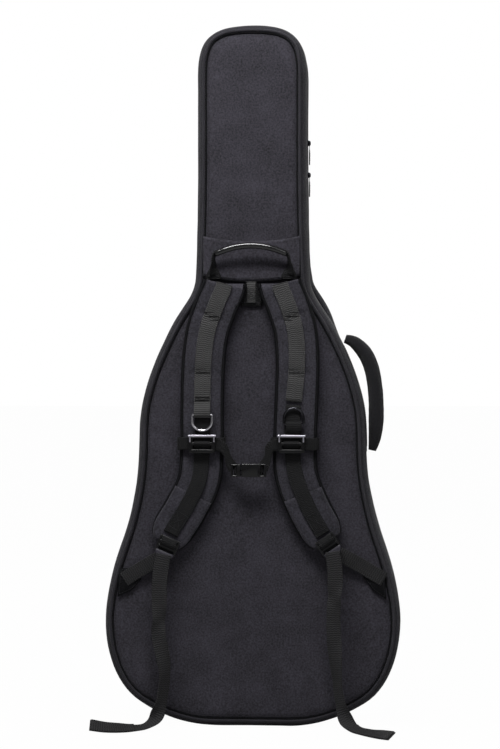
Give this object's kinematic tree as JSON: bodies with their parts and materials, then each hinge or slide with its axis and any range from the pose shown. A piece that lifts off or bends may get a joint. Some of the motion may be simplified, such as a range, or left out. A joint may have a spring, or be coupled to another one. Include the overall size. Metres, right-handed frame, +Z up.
{
  "type": "padded gig bag",
  "caption": "Upright padded instrument bag with a zipped front lid, front pocket, two backpack straps with a chest buckle, a carrying grip and a side handle.",
  "frame": {"origin": "middle of the bag's box at its flat base", "axes": "+Z up the bag to the neck end, back panel with the straps faces -Y, side handle on +X"},
  "size_m": [0.513, 0.2724, 1.0801],
  "materials": {
    "outer_cloth": "fine plain weave",
    "webbing": "ribbed weave",
    "foam": "closed-cell foam",
    "plush": "short pile",
    "smooth_cloth": "smooth coated cloth",
    "black_plastic": "satin moulded",
    "grip_rubber": "glossy",
    "dark_metal": "dark plated"
  },
  "bodies": {
    "back_shell": {"back_panel": "outer_cloth", "back_foam": "foam", "back_lining": "plush", "back_gusset": "outer_cloth", "back_gusset_foam": "foam", "back_gusset_lining": "plush", "back_piping": "webbing", "zipper_tape_back": "webbing", "neck_cradle": "foam", "neck_tie_strap": "webbing", "base_block": "foam", "yoke": "outer_cloth", "hang_patch": "outer_cloth", "hang_loop": "webbing", "haul_handle_tabs": "webbing", "side_handle_patch": "smooth_cloth", "anchor_left": "webbing", "anchor_right": "webbing", "lower_webbing_left": "webbing", "lower_webbing_right": "webbing"},
    "front_lid": {"front_panel": "outer_cloth", "front_foam": "foam", "front_lining": "plush", "front_gusset": "outer_cloth", "front_gusset_foam": "foam", "front_piping": "webbing", "zipper_tape_front": "webbing", "pocket_gusset": "outer_cloth", "pocket_panel": "outer_cloth", "pocket_zipper": "webbing"},
    "pocket_slider": {"pocket_slider": "dark_metal"},
    "pocket_pull": {"pocket_pull": "dark_metal"},
    "main_slider_upper": {"main_slider_upper": "dark_metal"},
    "main_pull_upper": {"main_pull_upper": "dark_metal"},
    "main_slider_lower": {"main_slider_lower": "dark_metal"},
    "main_pull_lower": {"main_pull_lower": "dark_metal"},
    "haul_handle": {"haul_grip": "grip_rubber", "haul_webbing": "webbing"},
    "side_handle": {"side_handle": "smooth_cloth"},
    "strap_left": {"strap_pad_left": "outer_cloth", "strap_webbing_left": "webbing", "strap_patch_left": "outer_cloth"},
    "d_ring_left": {"d_ring_left": "dark_metal"},
    "strap_end_left": {"ladder_lock_left": "black_plastic", "strap_tail_left": "webbing"},
    "strap_right": {"strap_pad_right": "outer_cloth", "strap_webbing_right": "webbing", "strap_patch_right": "outer_cloth"},
    "d_ring_right": {"d_ring_right": "dark_metal"},
    "strap_end_right": {"ladder_lock_right": "black_plastic", "strap_tail_right": "webbing"},
    "chest_left": {"chest_adjuster_left": "black_plastic", "chest_webbing_left": "webbing"},
    "chest_right": {"chest_adjuster_right": "black_plastic", "chest_webbing_right": "webbing", "buckle_socket": "black_plastic"},
    "buckle_prongs": {"buckle_prongs": "black_plastic"}
  },
  "joints": [
    {"name": "lid_open", "type": "hinge", "parent": "back_shell", "child": "front_lid", "pos_m": [0, 0.012, 0], "axis": [-1, 0, 0], "range_deg": [0, 100]},
    {"name": "main_zip_upper", "type": "slide", "parent": "back_shell", "child": "main_slider_upper", "axis": [0, 0, 1], "range_m": [0, 0.08]},
    {"name": "main_zip_lower", "type": "slide", "parent": "back_shell", "child": "main_slider_lower", "axis": [0.024, 0, -0.9997], "range_m": [0, 0.1]},
    {"name": "main_pull_upper_swing", "type": "hinge", "parent": "main_slider_upper", "child": "main_pull_upper", "pos_m": [0.0869, 0.012, 0.905], "axis": [0, -1, 0], "range_deg": [0, 160]},
    {"name": "main_pull_lower_swing", "type": "hinge", "parent": "main_slider_lower", "child": "main_pull_lower", "pos_m": [0.0869, 0.012, 0.855], "axis": [0, -1, 0], "range_deg": [0, 160]},
    {"name": "pocket_zip", "type": "slide", "parent": "front_lid", "child": "pocket_slider", "axis": [1, 0, 0], "range_m": [0, 0.128]},
    {"name": "pocket_pull_swing", "type": "hinge", "parent": "pocket_slider", "child": "pocket_pull", "pos_m": [-0.064, 0.09975, 0.638], "axis": [0, 0, -1], "range_deg": [0, 170]},
    {"name": "haul_swing", "type": "hinge", "parent": "back_shell", "child": "haul_handle", "pos_m": [0, -0.07815, 0.6958], "axis": [1, 0, 0], "range_deg": [0, 95]},
    {"name": "side_handle_swing", "type": "hinge", "parent": "back_shell", "child": "side_handle", "pos_m": [0.143, -0.023, 0.597], "axis": [0.2307, 0, -0.973], "range_deg": [-20, 20]},
    {"name": "strap_swing_left", "type": "hinge", "parent": "back_shell", "child": "strap_left", "pos_m": [-0.04, -0.075, 0.6762], "axis": [-1, 0, 0], "range_deg": [0, 25], "deforming": ["lower_webbing_left"]},
    {"name": "strap_swing_right", "type": "hinge", "parent": "back_shell", "child": "strap_right", "pos_m": [0.04, -0.075, 0.6762], "axis": [-1, 0, 0], "range_deg": [0, 25], "deforming": ["lower_webbing_right"]},
    {"name": "d_ring_swing_left", "type": "hinge", "parent": "strap_left", "child": "d_ring_left", "pos_m": [-0.075, -0.09265, 0.48], "axis": [-1, 0, 0], "range_deg": [0, 170]},
    {"name": "d_ring_swing_right", "type": "hinge", "parent": "strap_right", "child": "d_ring_right", "pos_m": [0.069, -0.09265, 0.466], "axis": [1, 0, 0], "range_deg": [0, 110]},
    {"name": "strap_end_swing_left", "type": "hinge", "parent": "strap_left", "child": "strap_end_left", "pos_m": [-0.1221, -0.0888, 0.2922], "axis": [-0.9205, 0, 0.3907], "range_deg": [0, 35]},
    {"name": "strap_end_swing_right", "type": "hinge", "parent": "strap_right", "child": "strap_end_right", "pos_m": [0.1103, -0.0888, 0.2942], "axis": [-0.8191, 0, -0.5736], "range_deg": [0, 35]},
    {"name": "chest_slide_left", "type": "slide", "parent": "strap_left", "child": "chest_left", "axis": [0, 0, -1], "range_m": [0, 0.028]},
    {"name": "chest_slide_right", "type": "slide", "parent": "strap_right", "child": "chest_right", "axis": [0, 0, -1], "range_m": [0, 0.028]},
    {"name": "buckle_release", "type": "slide", "parent": "chest_left", "child": "buckle_prongs", "axis": [-1, 0, 0], "range_m": [0, 0.026]}
  ],
  "couplings": [
    {"joint": "strap_swing_right", "follows": "strap_swing_left", "ratio": 1},
    {"joint": "chest_slide_right", "follows": "chest_slide_left", "ratio": 1}
  ]
}
